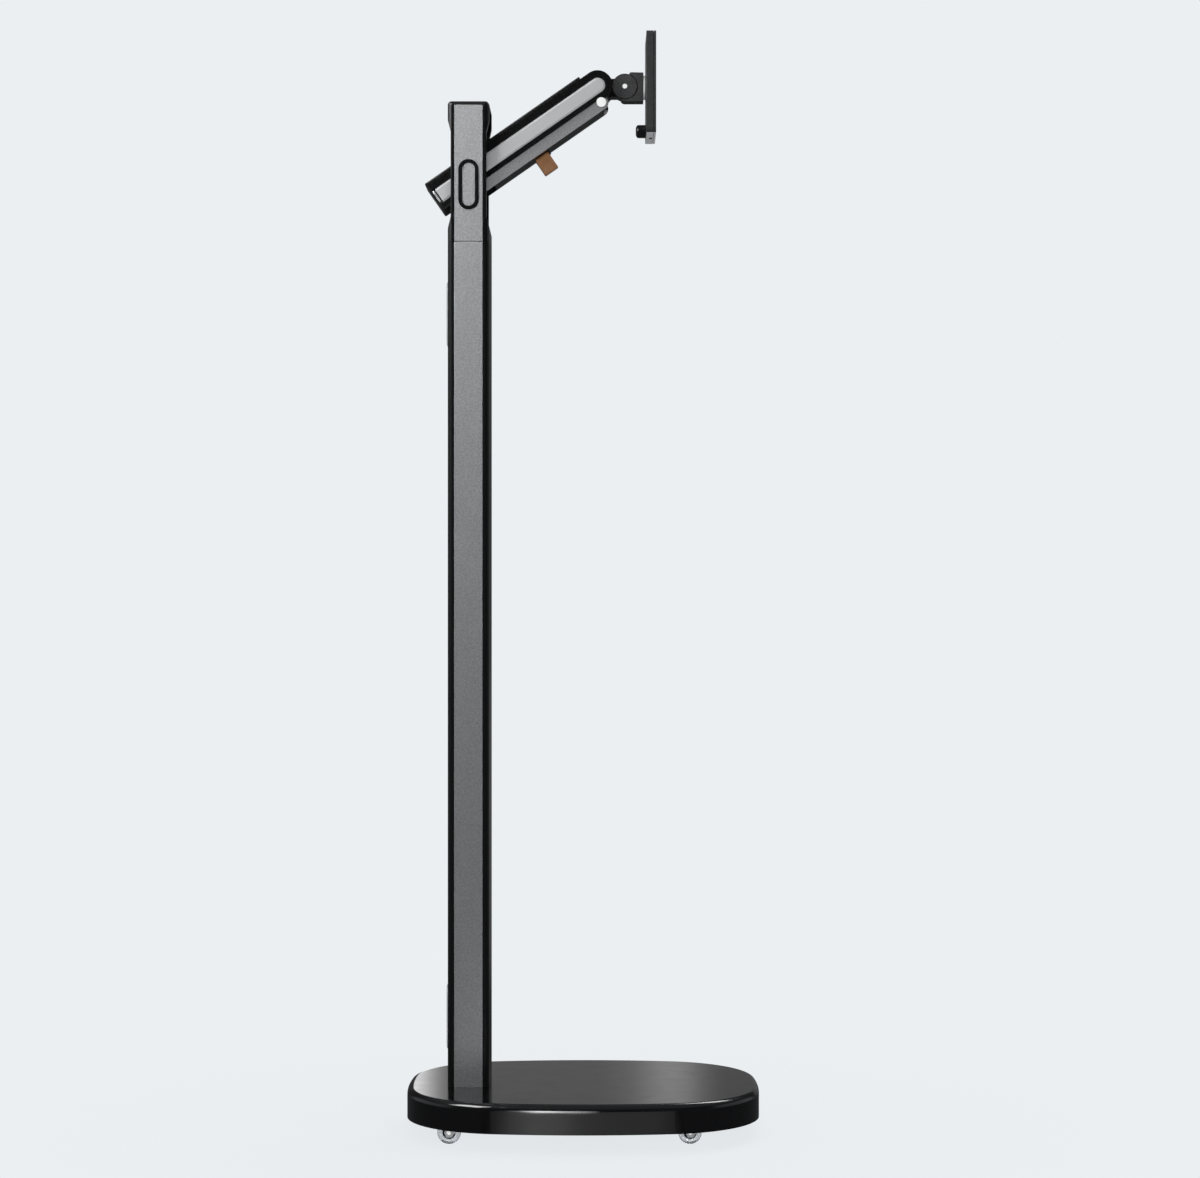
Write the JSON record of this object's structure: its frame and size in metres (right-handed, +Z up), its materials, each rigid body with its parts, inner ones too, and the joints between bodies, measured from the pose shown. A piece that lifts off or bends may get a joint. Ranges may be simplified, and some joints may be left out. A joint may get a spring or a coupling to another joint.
{
  "type": "rolling floor stand",
  "caption": "Slim rolling floor stand: heavy rounded base on casters, tall column, gas-spring arm, tilting and turning screen plate that lifts off.",
  "frame": {"origin": "on the floor under the middle of the base", "axes": "+Z up, +X towards the screen, +Y to the stand's left; the stand is mirror symmetric about the XZ plane"},
  "size_m": [0.38, 0.3, 1.1845],
  "materials": {
    "gloss_black_abs": "high gloss black moulded plastic",
    "black_pp": "fine moulded texture",
    "ballast_steel": "plain steel plate",
    "zinc_steel": "zinc plated steel",
    "smoked_nylon": "dark moulded nylon",
    "clear_pu": "clear cast polyurethane",
    "bearing_steel": "polished bearing steel",
    "black_anodised": "satin black anodised aluminium extrusion",
    "graphite_anodised": "bead blasted grey anodised aluminium",
    "spine_steel": "drawn steel tube",
    "pale_grey_abs": "pale grey moulded plastic",
    "black_cast": "satin black paint on cast aluminium",
    "silver_anodised": "silver grey anodised aluminium",
    "link_powder": "dark grey powder coat, fine grain",
    "polished_steel": "polished steel",
    "spring_black": "black paint on steel tube",
    "tan_leather": "tan leather with dark edges",
    "charcoal_powder": "charcoal powder coat, fine grain",
    "black_sheet": "black powder coated steel sheet",
    "white_acetal": "white moulded acetal",
    "knob_black": "black moulded grip"
  },
  "bodies": {
    "stand": {"base_cover": "gloss_black_abs", "ballast_plate": "ballast_steel", "base_tray": "black_pp", "base_fasteners": "zinc_steel", "caster_sockets": "zinc_steel", "column_spine": "spine_steel", "column_foot": "ballast_steel", "cable_port_upper": "pale_grey_abs", "cable_port_lower": "pale_grey_abs", "column_front_cover": "black_anodised", "column_rear_cover": "black_anodised", "column_panel_right": "graphite_anodised", "column_panel_left": "graphite_anodised", "head_fork": "black_cast", "head_panel_right": "graphite_anodised", "head_panel_left": "graphite_anodised", "pivot_ring_right": "black_pp", "pivot_ring_left": "black_pp", "pivot_plates": "graphite_anodised", "head_cap": "black_pp", "arm_rear_pins": "polished_steel"},
    "upper_arm": {"arm_upper_link": "black_cast", "arm_inlay_right": "silver_anodised", "arm_inlay_left": "silver_anodised", "arm_end_trims": "polished_steel", "arm_top_cover": "black_pp", "arm_end_cap": "black_pp", "gas_spring_pin": "zinc_steel", "gas_spring_cylinder": "spring_black"},
    "spring_rod": {"gas_spring_rod": "polished_steel"},
    "lower_arm": {"arm_lower_link": "link_powder", "cable_strap": "tan_leather", "strap_clip": "black_pp"},
    "elbow": {"elbow_block": "black_cast", "elbow_pin_upper": "zinc_steel", "elbow_pin_lower": "polished_steel", "tilt_pin": "polished_steel", "tilt_washers": "zinc_steel"},
    "tilt_head": {"tilt_block": "charcoal_powder", "roll_spindle": "zinc_steel", "roll_washer": "white_acetal"},
    "bracket": {"screen_bracket": "charcoal_powder"},
    "screen_mount": {"screen_plate": "black_sheet"},
    "knob": {"lock_knob": "knob_black"},
    "fork_front_left": {"caster_fork_front_left": "smoked_nylon", "caster_axle_front_left": "zinc_steel"},
    "wheel_front_left": {"caster_hub_front_left": "bearing_steel", "caster_tyre_front_left": "clear_pu"},
    "fork_front_right": {"caster_fork_front_right": "smoked_nylon", "caster_axle_front_right": "zinc_steel"},
    "wheel_front_right": {"caster_hub_front_right": "bearing_steel", "caster_tyre_front_right": "clear_pu"},
    "fork_rear_left": {"caster_fork_rear_left": "smoked_nylon", "caster_axle_rear_left": "zinc_steel"},
    "wheel_rear_left": {"caster_hub_rear_left": "bearing_steel", "caster_tyre_rear_left": "clear_pu"},
    "fork_rear_right": {"caster_fork_rear_right": "smoked_nylon", "caster_axle_rear_right": "zinc_steel"},
    "wheel_rear_right": {"caster_hub_rear_right": "bearing_steel", "caster_tyre_rear_right": "clear_pu"}
  },
  "joints": [
    {"name": "swivel_front_left", "type": "hinge", "parent": "stand", "child": "fork_front_left", "pos_m": [0.127, 0.092, 0.03], "axis": [0, 0, 1], "continuous": true},
    {"name": "roll_front_left", "type": "hinge", "parent": "fork_front_left", "child": "wheel_front_left", "pos_m": [0.113, 0.092, 0.0125], "axis": [0, 1, 0], "continuous": true},
    {"name": "swivel_front_right", "type": "hinge", "parent": "stand", "child": "fork_front_right", "pos_m": [0.127, -0.092, 0.03], "axis": [0, 0, 1], "continuous": true},
    {"name": "roll_front_right", "type": "hinge", "parent": "fork_front_right", "child": "wheel_front_right", "pos_m": [0.113, -0.092, 0.0125], "axis": [0, 1, 0], "continuous": true},
    {"name": "swivel_rear_left", "type": "hinge", "parent": "stand", "child": "fork_rear_left", "pos_m": [-0.127, 0.092, 0.03], "axis": [0, 0, 1], "continuous": true},
    {"name": "roll_rear_left", "type": "hinge", "parent": "fork_rear_left", "child": "wheel_rear_left", "pos_m": [-0.141, 0.092, 0.0125], "axis": [0, 1, 0], "continuous": true},
    {"name": "swivel_rear_right", "type": "hinge", "parent": "stand", "child": "fork_rear_right", "pos_m": [-0.127, -0.092, 0.03], "axis": [0, 0, 1], "continuous": true},
    {"name": "roll_rear_right", "type": "hinge", "parent": "fork_rear_right", "child": "wheel_rear_right", "pos_m": [-0.141, -0.092, 0.0125], "axis": [0, 1, 0], "continuous": true},
    {"name": "arm_lift", "type": "hinge", "parent": "stand", "child": "upper_arm", "pos_m": [-0.1231, 0, 1.0318], "axis": [0, -1, 0], "range_deg": [-60, 5]},
    {"name": "lower_link_swing", "type": "hinge", "parent": "stand", "child": "lower_arm", "pos_m": [-0.119, 0, 1.0134], "axis": [0, -1, 0], "range_deg": [-61, 6]},
    {"name": "elbow_level", "type": "hinge", "parent": "upper_arm", "child": "elbow", "pos_m": [0.01543, 0, 1.12826], "axis": [0, -1, 0], "range_deg": [-6, 61]},
    {"name": "gas_spring_stroke", "type": "slide", "parent": "upper_arm", "child": "spring_rod", "axis": [-0.7351, 0, -0.6779], "range_m": [-0.0195, 0.0025]},
    {"name": "screen_tilt", "type": "hinge", "parent": "elbow", "child": "tilt_head", "pos_m": [0.045, 0, 1.1295], "axis": [0, -1, 0], "range_deg": [-20, 70]},
    {"name": "screen_roll", "type": "hinge", "parent": "tilt_head", "child": "bracket", "pos_m": [0.0679, 0, 1.1295], "axis": [1, 0, 0], "range_deg": [-90, 90]},
    {"name": "screen_lift_off", "type": "slide", "parent": "bracket", "child": "screen_mount", "axis": [0, 0, 1], "range_m": [0, 0.115]},
    {"name": "knob_turn", "type": "hinge", "parent": "bracket", "child": "knob", "pos_m": [0.062, 0, 1.082], "axis": [1, 0, 0], "continuous": true}
  ],
  "couplings": [
    {"joint": "lower_link_swing", "follows": "arm_lift", "ratio": 1},
    {"joint": "elbow_level", "follows": "arm_lift", "ratio": -1},
    {"joint": "gas_spring_stroke", "follows": "arm_lift", "m_per_rad": 0.0178}
  ]
}
